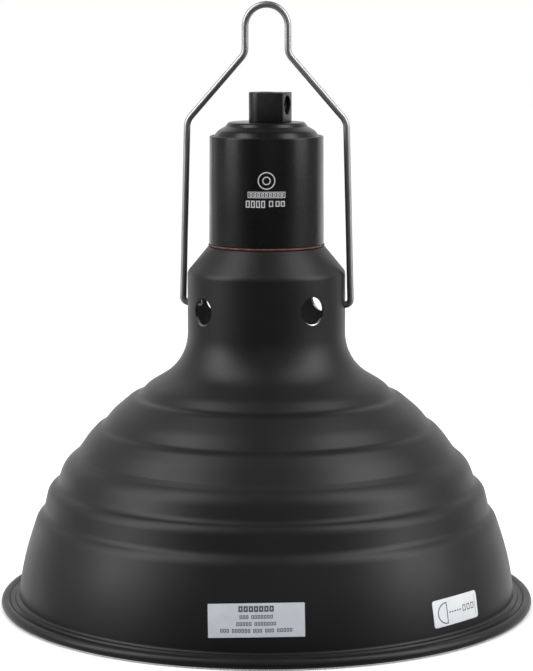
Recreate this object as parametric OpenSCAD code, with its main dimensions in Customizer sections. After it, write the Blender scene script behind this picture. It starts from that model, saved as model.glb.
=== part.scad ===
// Hanging heat lamp fixture: a spun aluminium dome with a vented neck, a wire bail,
// a socket cover with a cord grip, and an E27 porcelain lampholder inside.
// It stands on its rim, with the origin at the centre of the rim and +Z up. Millimetres.

/* [Shade] */
// Outside radius of the rolled rim
rim_r = 127; // [125:0.5:132]
// Outside radius of the neck
neck_r = 37.35; // [37:0.05:37.6]
// Thickness of the spun sheet
sheet_t = 1.2; // [0.9:0.1:1.2]
// Height of the flat seat on top of the neck
seat_z = 171.5; // [171:0.1:172]
// Diameter of each round vent in the neck
vent_d = 12.8; // [8:0.2:14]

/* [Bail] */
// Diameter of the bail wire
wire_d = 3.2; // [2.8:0.1:3.4]
// Height of the top of the hanging loop, over the wire
bail_top_z = 285.8; // [280:0.2:300]
// Centreline radius of the hanging loop
loop_r = 10.1; // [8:0.1:12]

/* [Socket cover] */
// Outside radius of the cover at its foot
cover_r = 27.1; // [27:0.05:27.4]
// Height of the top edge of the sleeve
sleeve_top_z = 223.2; // [222:0.2:226]
// Thickness of the sealing gasket
gasket_t = 0.8; // [0.6:0.1:1.2]

/* [Cord grip] */
// Width of the grip block
grip_w = 13.4; // [13:0.1:15]
// Height of the grip block
grip_h = 13.9; // [13.5:0.1:16]
// Turn of the clamp screw side from the bail's plane
grip_turn = -11; // [-30:1:30]
// Radius of the hole that takes the cord
cord_hole_r = 3.6; // [3.4:0.1:4]

/* [Lampholder] */
// Outside radius of the porcelain body
porcelain_r = 18.7; // [18.2:0.1:18.8]
// Radius of the lands between the grooves of the lamp thread
thread_land_r = 12.2; // [12.1:0.05:12.3]
// Travel of the sprung centre contact
plunger_travel = 2; // [1:0.1:2.2]

/* [Hidden] */
$fn = 96;
arc_steps = 4;
cut = 1;

// Shade: points of the outer face as [radius, height, rounding of the corner]
plate_hole_r = 19.2;
seat_edge_r = 27.2;
crease_z = 159.2;
upper_corners = [
    [plate_hole_r, seat_z, 0],
    [seat_edge_r, seat_z, 2],
    [neck_r, crease_z, 2],
    [neck_r, 116.8, 24],
];
rib_corners = [
    [56.4, 105.4, 15],
    [60.8, 100.7, 3],
    [64.3, 100.1, 8],
    [73.4, 92.4, 26],
    [78.0, 86.7, 3],
    [81.0, 85.3, 8],
    [85.3, 80.4, 24],
    [89.9, 73.8, 3],
    [92.2, 71.7, 5],
    [96.3, 68.5, 14],
    [99.7, 59.2, 3],
    [103.9, 56.6, 9],
    [106.3, 46.1, 3],
    [109.37, 43.3, 9],
];
skirt_arc_r = 126;
skirt_corner = [116.7, 21.2, skirt_arc_r];
skirt_centre = [-7.1, -5.6];
foot = [118.25, 7.2, 0];
foot_corner = [118.45, 4.9, 1.4];
ledge_edge = [120.1, 4.9, 0.3];
ledge_step = [120.5, 4.0, 0.3];
flange_z = 4.0;

// Rolled rim, pressed slightly flat where it stands
bead_r = 2.45;
bead_z = 2.4;
bead_centre_r = rim_r - bead_r;
curl_end = -140;

// Vents as [direction, height of the centre], punched by hand a little off even spacing
vents = [[51, 143.6], [141, 143.8], [225, 142.6], [313, 144]];

// Bail: half of its centreline as [x, height, bend radius], from the foot up
hinge_z = 143.8;
hinge_gap = 0.08;
foot_tip_x = 31.5;
foot_x = 40.1;
foot_bend_r = 2.5;
shoulder = [37.7, 230, 8];
throat_z = 261.5;
throat_bend_r = 7;
loop_z = bail_top_z - wire_d / 2 - loop_r;
bend_lap = 0.1;
bend_swell = 0.02;

// Socket cover
sleeve_base_z = seat_z + gasket_t;
sleeve_top_r = 26.8;
sleeve_bore_r = 25.5;
sleeve_flange_t = 1.3;
sleeve_flange_hole_r = 19.4;
gasket_r = 27.5;
cap_skirt_z = 217;
cap_skirt_r = sleeve_bore_r - 0.02;
cap_z = 229.6;
stem_hole_r = 5.2;

// Screws that join the shade, the gasket and the sleeve
cover_screw_count = 3;
cover_screw_circle_r = 22.4;
cover_screw_turn = 90;
m3_r = 1.5;
m3_hole_r = 1.65;
m3_head_r = 2.8;
m3_nut_af = 5.5;
m3_nut_h = 2.4;
lock_washer_t = 0.6;

// Cord grip
grip_heel_x = -1.7;
grip_face_x = 10.3;
grip_thread_r = 5.05;
grip_thread_z = cap_z + 4.4;
grip_top_z = cap_z + grip_h;
clamp_z = cap_z + 8;
clamp_hole_r = 2.6;
clamp_shank_r = 2.5;
clamp_seat_x = 6.2;
clamp_seat_r = 4.4;
clamp_head_r = 4.1;
clamp_head_h = 2.6;
clamp_tip_x = 4.2;

// Threaded stem and its nuts
stem_r = 5;
stem_bore_r = 4;
stem_base_z = 199.8;
stem_top_z = 233.6;
m10_nut_af = 14;
m10_nut_h = 3;
m10_washer_r = 9;
m10_washer_t = 0.8;
cap_sheet_t = 1.2;
cap_nut_z = cap_z - cap_sheet_t - m10_washer_t - m10_nut_h;

// Porcelain body and the steel yoke that carries it
porcelain_base_z = 150.5;
porcelain_top_z = 192;
mouth_r = 15;
mouth_step_z = 154.5;
shell_seat_r = 14.2;
shell_seat_z = 179.5;
spring_well_r = 4.2;
spring_well_z = 186;
yoke_t = 1.2;
yoke_w = 13;
yoke_leg_x = 12.6;
yoke_foot_x = 17.4;
yoke_bar_z = 206;
holder_screw_x = 15;
holder_screw_r = 1.75;
holder_screw_hole_r = 1.8;
holder_screw_depth = 8;

// Screw shell, with the knuckle thread drawn as ring grooves
shell_t = 0.4;
shell_base_z = 155.2;
shell_groove_r = 13.3;
thread_pitch = 3.62;
thread_turns = 5;
shell_hole_r = 7.4;
shell_plain_r = shell_groove_r + 0.4;
shell_screw_circle_r = 10.6;
shell_screw_turn = 60;
shell_screw_head_h = 1.6;

// Sprung centre contact
plunger_head_r = 3.5;
plunger_head_h = 2;
plunger_head_z = shell_seat_z - plunger_travel - plunger_head_h;
plunger_stem_r = 1.5;
plunger_guide_r = 1.58;
clip_z = 193.4;
clip_t = 0.6;
spring_wire_r = 0.3;
spring_mean_r = 2.8;
spring_turns = 6;
spring_steps = 12;
spring_sides = 6;

// Terminals on top of the porcelain
terminal_t = 1.2;
terminal_w = 7;
terminal_screw_r = 1.75;
terminal_head_r = 3;
terminal_head_h = 2;
live_screw_at = [3.5, -12];
neutral_screw_at = [-3.5, 12];
earth_z = 199.5;

// Blank labels on the skirt
label_t = 0.15;
label_gap = 0.02;
caution_size = [42.2, 14.4];
caution_turn = -84.2;
caution_tilt = 1.4;
caution_z = 19.8;
distance_size = [30.8, 12];
distance_turn = -35.2;
distance_z = 15.6;
distance_corner_r = 1.3;

// ---------- outlines ----------

function unit(v) = v / norm(v);
function plane(p) = [p[0], p[1]];

// Points of the arc that rounds the corner b between a and c
function corner_arc(a, b, c, r) =
    let (u = unit(a - b), v = unit(c - b), half = acos(u * v) / 2)
    let (centre = b + unit(u + v) * r / sin(half))
    let (from = b + u * r / tan(half) - centre, to = b + v * r / tan(half) - centre)
    let (start = atan2(from[1], from[0]), turn = atan2(to[1], to[0]) - start)
    let (sweep = turn > 180 ? turn - 360 : turn < -180 ? turn + 360 : turn)
    [for (k = [0:arc_steps]) let (at = start + sweep * k / arc_steps) centre + r * [cos(at), sin(at)]];

// A run of points with its inner corners rounded
function rounded(p) = [
    for (i = [0:len(p) - 1])
        each (i == 0 || i == len(p) - 1 || p[i][2] == 0)
            ? [plane(p[i])]
            : corner_arc(plane(p[i - 1]), plane(p[i]), plane(p[i + 1]), p[i][2])
];

// The same run moved sideways by d, to the right of its direction
function shifted(p, d) = [
    for (i = [0:len(p) - 1])
        let (along = unit(p[min(i + 1, len(p) - 1)] - p[max(i - 1, 0)]))
        p[i] + d * [along[1], -along[0]]
];

function reversed(p) = [for (i = [len(p) - 1:-1:0]) p[i]];
function without_first(p) = [for (i = [1:len(p) - 1]) p[i]];

// Points of an arc from angle a to angle b in about 15 degree steps
function arc(centre, r, a, b) =
    let (steps = ceil(abs(b - a) / 15))
    [for (k = [0:steps]) let (turn = a + (b - a) * k / steps) centre + r * [cos(turn), sin(turn)]];

// ---------- shared hardware ----------

module ring(r_out, r_in, h) {
    difference() {
        cylinder(r = r_out, h = h);
        translate([0, 0, -cut]) cylinder(r = r_in, h = h + 2 * cut);
    }
}

module hex_nut(af, r_in, h) {
    difference() {
        cylinder(r = af / 2 / cos(30), h = h, $fn = 6);
        translate([0, 0, -cut]) cylinder(r = r_in, h = h + 2 * cut);
    }
}

// Slotted screw: head top at height 0, shank running down
module slotted_screw(head_r, head_h, shank_r, length) {
    slot_w = head_r * 0.3;
    difference() {
        translate([0, 0, -head_h]) cylinder(r = head_r, h = head_h);
        translate([-slot_w / 2, -head_r - cut, -head_h * 0.45]) cube([slot_w, 2 * (head_r + cut), head_h]);
    }
    translate([0, 0, -head_h - length]) cylinder(r = shank_r, h = length);
}

module around_cover_screws() {
    for (i = [0:cover_screw_count - 1])
        rotate(cover_screw_turn + i * 360 / cover_screw_count)
            translate([cover_screw_circle_r, 0, 0]) children();
}

module cover_screw_holes(z, h) {
    around_cover_screws() translate([0, 0, z - cut]) cylinder(r = m3_hole_r, h = h + 2 * cut);
}

module at_shell_screw(side) {
    rotate(shell_screw_turn + side * 180) translate([shell_screw_circle_r, 0, 0]) children();
}

// ---------- shade ----------

// Rolled rim: out over the top, down round the outside to the flat foot, and curled in under the flange
function bead_outline() =
    let (centre = [bead_centre_r, bead_z], bore = bead_r - sheet_t)
    let (flat_half = acos(bead_z / bead_r), under_z = flange_z - sheet_t)
    concat(
        arc(centre, bead_r, 180 - asin((flange_z - bead_z) / bead_r), -90 + flat_half),
        arc(centre, bead_r, -90 - flat_half, curl_end),
        arc(centre, bore, curl_end, 180 - asin((under_z - bead_z) / bore))
    );

module shade_section() {
    outer = rounded(concat(upper_corners, rib_corners, [skirt_corner, foot]));
    inner = shifted(outer, sheet_t);
    inner_foot = inner[len(inner) - 1];
    bead_side_r = bead_centre_r - bead_r;
    rim_top = rounded([foot, foot_corner, ledge_edge, ledge_step, [bead_side_r, flange_z, 0]]);
    under_z = flange_z - sheet_t;
    rim_under = rounded([inner_foot, [foot_corner[0] - sheet_t, under_z, 1.5], [bead_side_r, under_z, 0]]);
    polygon(concat(
        outer,
        without_first(rim_top),
        bead_outline(),
        reversed(without_first(rim_under)),
        reversed(inner)
    ));
}

module shade() {
    color("#2b2b2d") difference() {
        rotate_extrude() shade_section();
        for (vent = vents)
            rotate(vent[0]) translate([neck_r - 6, 0, vent[1]])
                rotate([0, 90, 0]) cylinder(d = vent_d, h = 12);
        for (side = [0, 180])
            rotate(side) translate([neck_r - 6, 0, hinge_z])
                rotate([0, 90, 0]) cylinder(r = wire_d / 2 + hinge_gap, h = 12);
        cover_screw_holes(seat_z - sheet_t, sheet_t);
    }
}

// ---------- bail ----------

// Straight wire from a to b in the bail's plane, reaching a little way into the bends at its ends
module wire_rod(a, b) {
    rise = b - a;
    translate([a[0], 0, a[1]])
        rotate([0, atan2(rise[0], rise[1]), 0])
            translate([0, 0, -bend_lap]) cylinder(d = wire_d, h = norm(rise) + 2 * bend_lap, $fn = 32);
}

// Bent wire round the corner b between a and c, with centreline radius r
module wire_bend(a, b, c, r) {
    u = unit(a - b);
    v = unit(c - b);
    half = acos(u * v) / 2;
    centre = b + unit(u + v) * r / sin(half);
    from = b + u * r / tan(half) - centre;
    to = b + v * r / tan(half) - centre;
    turn = atan2(to[1], to[0]) - atan2(from[1], from[0]);
    sweep = turn > 180 ? turn - 360 : turn < -180 ? turn + 360 : turn;
    first = sweep > 0 ? atan2(from[1], from[0]) : atan2(to[1], to[0]);
    translate([centre[0], 0, centre[1]]) rotate([90, 0, 0]) rotate(first)
        rotate_extrude(angle = abs(sweep)) translate([r, 0]) circle(d = wire_d + bend_swell, $fn = 32);
}

// Distance from a corner to where its bend begins
function bend_start(a, b, c, r) = r / tan(acos(unit(a - b) * unit(c - b)) / 2);

// One half of the bail, on the side given by the sign of x
module bail_half(side) {
    line = [
        [foot_tip_x, hinge_z, 0],
        [foot_x, hinge_z, foot_bend_r],
        shoulder,
        [loop_r, throat_z, throat_bend_r],
        [loop_r, loop_z, 0],
    ];
    p = [for (q = line) [side * q[0], q[1]]];
    trim = [for (i = [0:len(p) - 1])
        (i == 0 || i == len(p) - 1) ? 0 : bend_start(p[i - 1], p[i], p[i + 1], line[i][2])];
    for (i = [0:len(p) - 2])
        wire_rod(p[i] + trim[i] * unit(p[i + 1] - p[i]), p[i + 1] - trim[i + 1] * unit(p[i + 1] - p[i]));
    for (i = [1:len(p) - 2])
        wire_bend(p[i - 1], p[i], p[i + 1], line[i][2]);
}

module bail() {
    color("#c9cacb") {
        bail_half(1);
        bail_half(-1);
        translate([0, 0, loop_z]) rotate([90, 0, 0])
            rotate_extrude(angle = 180) translate([loop_r, 0]) circle(d = wire_d + bend_swell, $fn = 32);
    }
}

// ---------- socket cover ----------

module cover_sleeve() {
    flange_top_z = sleeve_base_z + sleeve_flange_t;
    color("#232325") difference() {
        rotate_extrude() polygon(rounded([
            [sleeve_flange_hole_r, sleeve_base_z, 0],
            [cover_r, sleeve_base_z, 0.3],
            [sleeve_top_r, sleeve_top_z, 0.6],
            [sleeve_bore_r, sleeve_top_z, 0],
            [sleeve_bore_r, flange_top_z, 0],
            [sleeve_flange_hole_r, flange_top_z, 0],
        ]));
        cover_screw_holes(sleeve_base_z, sleeve_flange_t);
    }
}

module cover_cap() {
    face = rounded([
        [stem_hole_r, cap_z, 0],
        [17.9, cap_z, 1.9],
        [19.3, cap_z - 2, 0.9],
        [22.8, cap_z - 4, 3.6],
        [cap_skirt_r, cap_z - 7.4, 1.6],
        [cap_skirt_r, cap_skirt_z, 0],
    ]);
    color("#232325") rotate_extrude() polygon(concat(face, reversed(shifted(face, cap_sheet_t))));
}

module cover_gasket() {
    color("#9c5a52") difference() {
        translate([0, 0, seat_z]) ring(gasket_r, sleeve_flange_hole_r, gasket_t);
        cover_screw_holes(seat_z, gasket_t);
    }
}

module cover_screws() {
    head_h = 1.8;
    color("#c2c3c4") around_cover_screws()
        translate([0, 0, seat_z - sheet_t - head_h]) mirror([0, 0, 1])
            slotted_screw(m3_head_r, head_h, m3_r, 8);
}

module cover_lock_washers() {
    color("#b5b6b8") around_cover_screws()
        translate([0, 0, sleeve_base_z + sleeve_flange_t]) ring(m3_head_r, m3_r + 0.05, lock_washer_t);
}

module cover_nuts() {
    color("#b5b6b8") around_cover_screws()
        translate([0, 0, sleeve_base_z + sleeve_flange_t + lock_washer_t])
            rotate(30) hex_nut(m3_nut_af, m3_r + 0.05, m3_nut_h);
}

// ---------- cord grip and stem ----------

module cord_grip() {
    color("#1f1f20") rotate(grip_turn) difference() {
        translate([0, 0, cap_z]) linear_extrude(grip_h) {
            translate([grip_heel_x, 0]) circle(d = grip_w);
            translate([grip_heel_x, -grip_w / 2]) square([grip_face_x - grip_heel_x, grip_w]);
        }
        translate([0, 0, cap_z - cut]) cylinder(r = grip_thread_r, h = grip_thread_z - cap_z + cut);
        translate([0, 0, cap_z]) cylinder(r = cord_hole_r, h = grip_h + cut);
        translate([0, 0, grip_top_z - 0.5]) cylinder(r1 = cord_hole_r, r2 = cord_hole_r + 0.6, h = 0.6);
        translate([0, 0, clamp_z]) rotate([0, 90, 0]) cylinder(r = clamp_hole_r, h = grip_face_x);
        translate([clamp_seat_x, 0, clamp_z]) rotate([0, 90, 0])
            cylinder(r = clamp_seat_r, h = grip_face_x);
    }
}

module clamp_screw() {
    shank_l = clamp_seat_x - clamp_tip_x;
    color("#161616") rotate(grip_turn) translate([clamp_seat_x + clamp_head_h, 0, clamp_z])
        rotate([0, 90, 0]) slotted_screw(clamp_head_r, clamp_head_h, clamp_shank_r, shank_l);
}

module threaded_stem() {
    color("#b5b6b8") translate([0, 0, stem_base_z]) ring(stem_r, stem_bore_r, stem_top_z - stem_base_z);
}

module cap_washer() {
    color("#b5b6b8") translate([0, 0, cap_nut_z + m10_nut_h])
        ring(m10_washer_r, stem_r + 0.1, m10_washer_t);
}

module m10_nut() {
    hex_nut(m10_nut_af, stem_r + 0.02, m10_nut_h);
}

module cap_locknut() {
    color("#b5b6b8") translate([0, 0, cap_nut_z]) m10_nut();
}

module yoke_locknut() {
    color("#b5b6b8") translate([0, 0, yoke_bar_z - m10_nut_h]) m10_nut();
}

// ---------- lampholder ----------

module holder_yoke() {
    leg_h = yoke_bar_z + yoke_t - porcelain_top_z;
    color("#a9abad") difference() {
        union() {
            for (side = [-1, 1]) {
                leg_x = side > 0 ? yoke_leg_x - yoke_t : -yoke_leg_x;
                foot_start_x = side > 0 ? yoke_leg_x - yoke_t : -yoke_foot_x;
                translate([leg_x, -yoke_w / 2, porcelain_top_z]) cube([yoke_t, yoke_w, leg_h]);
                translate([foot_start_x, -yoke_w / 2, porcelain_top_z])
                    cube([yoke_foot_x - yoke_leg_x + yoke_t, yoke_w, yoke_t]);
            }
            translate([-yoke_leg_x, -yoke_w / 2, yoke_bar_z]) cube([2 * yoke_leg_x, yoke_w, yoke_t]);
        }
        translate([0, 0, yoke_bar_z - cut]) cylinder(r = stem_r + 0.02, h = yoke_t + 2 * cut);
        for (side = [-1, 1])
            translate([side * holder_screw_x, 0, porcelain_top_z - cut])
                cylinder(r = holder_screw_hole_r, h = yoke_t + 2 * cut);
        translate([yoke_leg_x - yoke_t - cut, 0, earth_z]) rotate([0, 90, 0])
            cylinder(r = m3_hole_r, h = yoke_t + 2 * cut);
    }
}

module holder_screws() {
    head_h = 2;
    color("#b5b6b8") for (side = [-1, 1])
        translate([side * holder_screw_x, 0, porcelain_top_z + yoke_t + head_h])
            slotted_screw(2.3, head_h, holder_screw_r, holder_screw_depth - 0.4);
}

module lampholder_body() {
    color("#f1efe8") difference() {
        rotate_extrude() polygon(rounded([
            [0, porcelain_top_z, 0],
            [porcelain_r, porcelain_top_z, 0.8],
            [porcelain_r, porcelain_base_z, 1.4],
            [mouth_r, porcelain_base_z, 1],
            [mouth_r, mouth_step_z, 0],
            [shell_seat_r, mouth_step_z, 0],
            [shell_seat_r, shell_seat_z, 0],
            [0, shell_seat_z, 0],
        ]));
        translate([0, 0, shell_seat_z - cut])
            cylinder(r = spring_well_r, h = spring_well_z - shell_seat_z + cut);
        translate([0, 0, spring_well_z - cut])
            cylinder(r = plunger_stem_r + 0.5, h = porcelain_top_z - spring_well_z + 2 * cut);
        for (side = [0, 1])
            at_shell_screw(side) translate([0, 0, shell_seat_z - cut])
                cylinder(r = m3_hole_r, h = porcelain_top_z - shell_seat_z + 2 * cut);
        for (side = [-1, 1])
            translate([side * holder_screw_x, 0, porcelain_top_z - holder_screw_depth])
                cylinder(r = holder_screw_hole_r, h = holder_screw_depth + cut);
    }
}

module screw_shell() {
    thread_top_z = shell_base_z + thread_turns * thread_pitch;
    end_z = shell_seat_z - shell_t;
    grooves = [
        for (i = [0:thread_turns - 1]) each [
            [thread_land_r, shell_base_z + i * thread_pitch],
            [thread_land_r, shell_base_z + (i + 0.2) * thread_pitch],
            [shell_groove_r, shell_base_z + (i + 0.5) * thread_pitch],
            [shell_groove_r, shell_base_z + (i + 0.7) * thread_pitch],
        ]
    ];
    lining = concat(grooves, [[thread_land_r, thread_top_z], [thread_land_r, thread_top_z + 0.7]]);
    backing = [for (p = lining) p + [shell_t, 0]];
    color("#c9c6bd") difference() {
        rotate_extrude() polygon(concat(
            lining,
            [[shell_plain_r - shell_t, thread_top_z + 1.4], [shell_plain_r - shell_t, end_z]],
            [[shell_hole_r, end_z], [shell_hole_r, shell_seat_z]],
            [[shell_plain_r, shell_seat_z], [shell_plain_r, thread_top_z + 1.4]],
            reversed(backing)
        ));
        for (side = [0, 1])
            at_shell_screw(side) translate([0, 0, end_z - cut])
                cylinder(r = m3_hole_r, h = shell_t + 2 * cut);
    }
}

module shell_screws() {
    head_z = shell_seat_z - shell_t - shell_screw_head_h;
    shank_l = porcelain_top_z + 3.6 - shell_seat_z;
    color("#b5b6b8") for (side = [0, 1])
        at_shell_screw(side) translate([0, 0, head_z]) mirror([0, 0, 1])
            slotted_screw(2.6, shell_screw_head_h, m3_r, shank_l);
}

module shell_nut() {
    color("#b5b6b8") at_shell_screw(1) translate([0, 0, porcelain_top_z])
        hex_nut(m3_nut_af, m3_r + 0.05, m3_nut_h);
}

// Flat terminal between two round ends, with a hole at each end
module terminal_plate(a, b, hole_a, hole_b) {
    span = b - a;
    translate([0, 0, porcelain_top_z]) difference() {
        union() {
            for (end = [a, b]) translate(end) cylinder(d = terminal_w, h = terminal_t);
            translate(a) rotate(atan2(span[1], span[0]))
                translate([0, -terminal_w / 2, 0]) cube([norm(span), terminal_w, terminal_t]);
        }
        translate([a[0], a[1], -cut]) cylinder(r = hole_a, h = terminal_t + 2 * cut);
        translate([b[0], b[1], -cut]) cylinder(r = hole_b, h = terminal_t + 2 * cut);
    }
}

module neutral_terminal() {
    shell_screw_at = shell_screw_circle_r * [cos(shell_screw_turn), sin(shell_screw_turn)];
    color("#c9a24a") terminal_plate(neutral_screw_at, shell_screw_at, terminal_screw_r + 0.05, m3_r + 0.05);
}

module live_terminal() {
    color("#c9a24a") terminal_plate(live_screw_at, [0, 0], terminal_screw_r + 0.05, plunger_guide_r);
}

module terminal_screws() {
    thread_l = terminal_t;
    color("#c9a24a") for (at = [live_screw_at, neutral_screw_at])
        translate([at[0], at[1], porcelain_top_z + terminal_t + terminal_head_h])
            slotted_screw(terminal_head_r, terminal_head_h, terminal_screw_r, thread_l);
}

module contact_plunger() {
    stem_h = clip_z + clip_t + 0.6 - plunger_head_z;
    color("#c9a24a") translate([0, 0, plunger_head_z]) {
        rotate_extrude() polygon(rounded([
            [0, 0, 0],
            [plunger_head_r, 0, 0.9],
            [plunger_head_r, plunger_head_h, 0],
            [0, plunger_head_h, 0],
        ]));
        cylinder(r = plunger_stem_r, h = stem_h);
    }
}

module plunger_clip() {
    color("#b5b6b8") translate([0, 0, clip_z]) ring(plunger_stem_r + 1.2, plunger_stem_r, clip_t);
}

// Round wire wound as a helix between the plunger's head and the top of its well
module contact_spring() {
    base_z = plunger_head_z + plunger_head_h + spring_wire_r + 0.05;
    rise = spring_well_z - spring_wire_r - 0.05 - base_z;
    ring_count = spring_turns * spring_steps;
    points = [
        for (i = [0:ring_count], j = [0:spring_sides - 1])
            let (turn = i * 360 / spring_steps, side = j * 360 / spring_sides)
            let (r = spring_mean_r + spring_wire_r * cos(side))
            [r * cos(turn), r * sin(turn), base_z + rise * i / ring_count + spring_wire_r * sin(side)]
    ];
    walls = [
        for (i = [0:ring_count - 1], j = [0:spring_sides - 1])
            let (here = i * spring_sides, next = here + spring_sides, k = (j + 1) % spring_sides)
            each [[here + j, here + k, next + k], [here + j, next + k, next + j]]
    ];
    first_end = [for (j = [spring_sides - 1:-1:0]) j];
    last_end = [for (j = [0:spring_sides - 1]) ring_count * spring_sides + j];
    color("#b5b6b8") polyhedron(points, concat(walls, [first_end, last_end]));
}

module earth_tag() {
    tag_t = 0.8;
    color("#c9a24a") translate([yoke_leg_x, 0, earth_z]) difference() {
        union() {
            rotate([0, 90, 0]) cylinder(r = 3, h = tag_t);
            translate([0, -2.4, 0]) cube([tag_t, 4.8, 8]);
        }
        translate([-cut, 0, 0]) rotate([0, 90, 0]) cylinder(r = m3_hole_r, h = tag_t + 2 * cut);
    }
}

module earth_screw() {
    color("#b5b6b8") translate([yoke_leg_x + 0.8 + 1.8, 0, earth_z])
        rotate([0, 90, 0]) slotted_screw(m3_head_r, 1.8, m3_r, 4);
}

// ---------- labels ----------

// Thin patch that follows the skirt, cut to a round-cornered outline
module skirt_label(size, corner_r, turn, tilt, z) {
    inner_r = skirt_arc_r + label_gap;
    half = size / 2 - [corner_r, corner_r];
    intersection() {
        rotate_extrude() translate(skirt_centre) difference() {
            circle(r = inner_r + label_t, $fn = 720);
            circle(r = inner_r, $fn = 720);
            translate([-2 * inner_r, -2 * inner_r]) square([2 * inner_r - skirt_centre[0], 4 * inner_r]);
            translate([0, -2 * inner_r]) square([2 * inner_r, 2 * inner_r]);
            translate([0, 2 * z]) square([2 * inner_r, 2 * inner_r]);
        }
        rotate(turn) translate([100, 0, z]) rotate([0, 90, 0]) rotate(90 + tilt) linear_extrude(30) {
            square([2 * half[0], size[1]], center = true);
            square([size[0], 2 * half[1]], center = true);
            for (x = [-half[0], half[0]], y = [-half[1], half[1]])
                translate([x, y]) circle(r = corner_r, $fn = 24);
        }
    }
}

module caution_label() {
    color("#c3c7cb") skirt_label(caution_size, 0.4, caution_turn, caution_tilt, caution_z);
}

module distance_label() {
    color("#e4e7ea") skirt_label(distance_size, distance_corner_r, distance_turn, 0, distance_z);
}

shade();
bail();
cover_sleeve();
cover_cap();
cover_gasket();
cover_screws();
cover_lock_washers();
cover_nuts();
cord_grip();
clamp_screw();
threaded_stem();
cap_washer();
cap_locknut();
holder_yoke();
yoke_locknut();
holder_screws();
lampholder_body();
screw_shell();
shell_screws();
shell_nut();
neutral_terminal();
live_terminal();
terminal_screws();
contact_plunger();
contact_spring();
plunger_clip();
earth_tag();
earth_screw();
caution_label();
distance_label();
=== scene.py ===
"""The looks of a hanging heat lamp fixture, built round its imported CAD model.

Sizes are in millimetres and become metres where a mesh is made. The outlines of the
turned parts repeat the named points of the CAD model, with finer rounding.
"""

from math import acos, asin, atan2, ceil, cos, degrees, pi, radians, sin, sqrt, tan

import bmesh
import bpy
from mathutils import Matrix, Vector


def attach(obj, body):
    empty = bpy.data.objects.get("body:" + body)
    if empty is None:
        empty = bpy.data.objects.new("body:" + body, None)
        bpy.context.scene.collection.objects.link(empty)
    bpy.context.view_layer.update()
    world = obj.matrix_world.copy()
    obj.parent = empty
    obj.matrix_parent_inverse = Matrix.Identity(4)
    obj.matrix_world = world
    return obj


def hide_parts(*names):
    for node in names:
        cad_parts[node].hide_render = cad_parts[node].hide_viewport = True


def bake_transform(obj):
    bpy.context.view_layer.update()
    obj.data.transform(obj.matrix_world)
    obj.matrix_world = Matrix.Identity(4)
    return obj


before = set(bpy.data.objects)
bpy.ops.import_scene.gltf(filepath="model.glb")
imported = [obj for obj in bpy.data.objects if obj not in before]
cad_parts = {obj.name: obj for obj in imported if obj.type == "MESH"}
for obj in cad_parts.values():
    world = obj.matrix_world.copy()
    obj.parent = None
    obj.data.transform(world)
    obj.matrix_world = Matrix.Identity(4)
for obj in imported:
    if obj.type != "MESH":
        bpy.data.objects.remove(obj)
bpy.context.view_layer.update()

MM = 0.001
ROUND = 192
FINE_ROUND = 256
SMALL_ROUND = 96
HOLE_ROUND = 32

# ---------- sizes of the parts, as in the CAD model ----------

SHEET_T = 1.2
RIM_R = 126.94  # just inside the CAD model's rim, which has flat facets
NECK_R = 37.35
SEAT_Z = 171.5
PLATE_HOLE_R = 19.2
SHADE_OUTLINE = [
    (PLATE_HOLE_R, SEAT_Z, 0),
    (27.2, SEAT_Z, 2),
    (NECK_R, 159.2, 4),
    (NECK_R, 116.8, 24),
    (56.4, 105.4, 15),
    (60.8, 100.7, 4.5),
    (64.3, 100.1, 7),
    (73.4, 92.4, 26),
    (78.0, 86.7, 5),
    (81.0, 85.3, 8),
    (85.3, 80.4, 24),
    (89.9, 73.8, 3),
    (92.2, 71.7, 5),
    (96.3, 68.5, 14),
    (99.7, 59.2, 5.5),
    (103.9, 56.6, 6.8),
    (106.3, 46.1, 5.5),
    (109.37, 43.3, 9),
    (116.7, 21.2, 126),
    (118.25, 7.2, 0),
]
FOOT_CORNER = (118.45, 4.9, 1.4)
LEDGE = [(120.1, 4.9, 0.3), (120.5, 4.0, 0.3)]
FLANGE_Z = 4.0
BEAD_R = 2.45
BEAD_Z = 2.4
BEAD_CENTRE_R = RIM_R - BEAD_R
CURL_END = -140
PAINT_END = -46
VENT_R = 6.4
VENT_SUNK = 0.24
VENT_FLARE = 1.6
CUTTER_REACH = 6
SHADE_SHARP = 24
VENTS = [(51, 143.6), (141, 143.8), (225, 142.6), (313, 144.0)]
SKIRT_ARC_R = 126.0
SKIRT_CENTRE = (-7.1, -5.6)
SKIRT_SLANT = 500.0

WIRE_R = 1.6
HINGE_Z = 143.8
PIVOT_HOLE_R = WIRE_R + 0.08
LOOP_R = 10.1
LOOP_Z = 274.1
BAIL_LINE = [
    (31.5, HINGE_Z, 0),
    (40.1, HINGE_Z, 2.5),
    (37.7, 230.0, 8),
    (LOOP_R, 261.5, 7),
    (LOOP_R, LOOP_Z, 0),
]

GASKET_T = 0.8
GASKET_R = 27.5
FLANGE_HOLE_R = 19.4
SLEEVE_BASE_Z = SEAT_Z + GASKET_T
SLEEVE_TOP_Z = 223.2
SLEEVE_BASE_R = 27.1
SLEEVE_TOP_R = 26.8
SLEEVE_BORE_R = 25.5
SLEEVE_FLANGE_T = 1.3
CAP_Z = 229.6
CAP_SKIRT_Z = 217.0
CAP_SKIRT_R = SLEEVE_BORE_R - 0.02
STEM_HOLE_R = 5.2
CAP_OUTLINE = [
    (STEM_HOLE_R, CAP_Z, 0),
    (17.9, CAP_Z, 1.9),
    (19.3, CAP_Z - 2, 0.9),
    (22.8, CAP_Z - 4, 3.6),
    (CAP_SKIRT_R, CAP_Z - 7.4, 1.6),
    (CAP_SKIRT_R, CAP_SKIRT_Z, 0),
]
SCREW_HOLE_R = 1.65
COVER_SCREW_CIRCLE = dict(turns=(90, 210, 330), radius=22.4)
COVER_SCREW = dict(head_r=2.8, head_h=1.8, shank_r=1.5, length=8)

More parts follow.
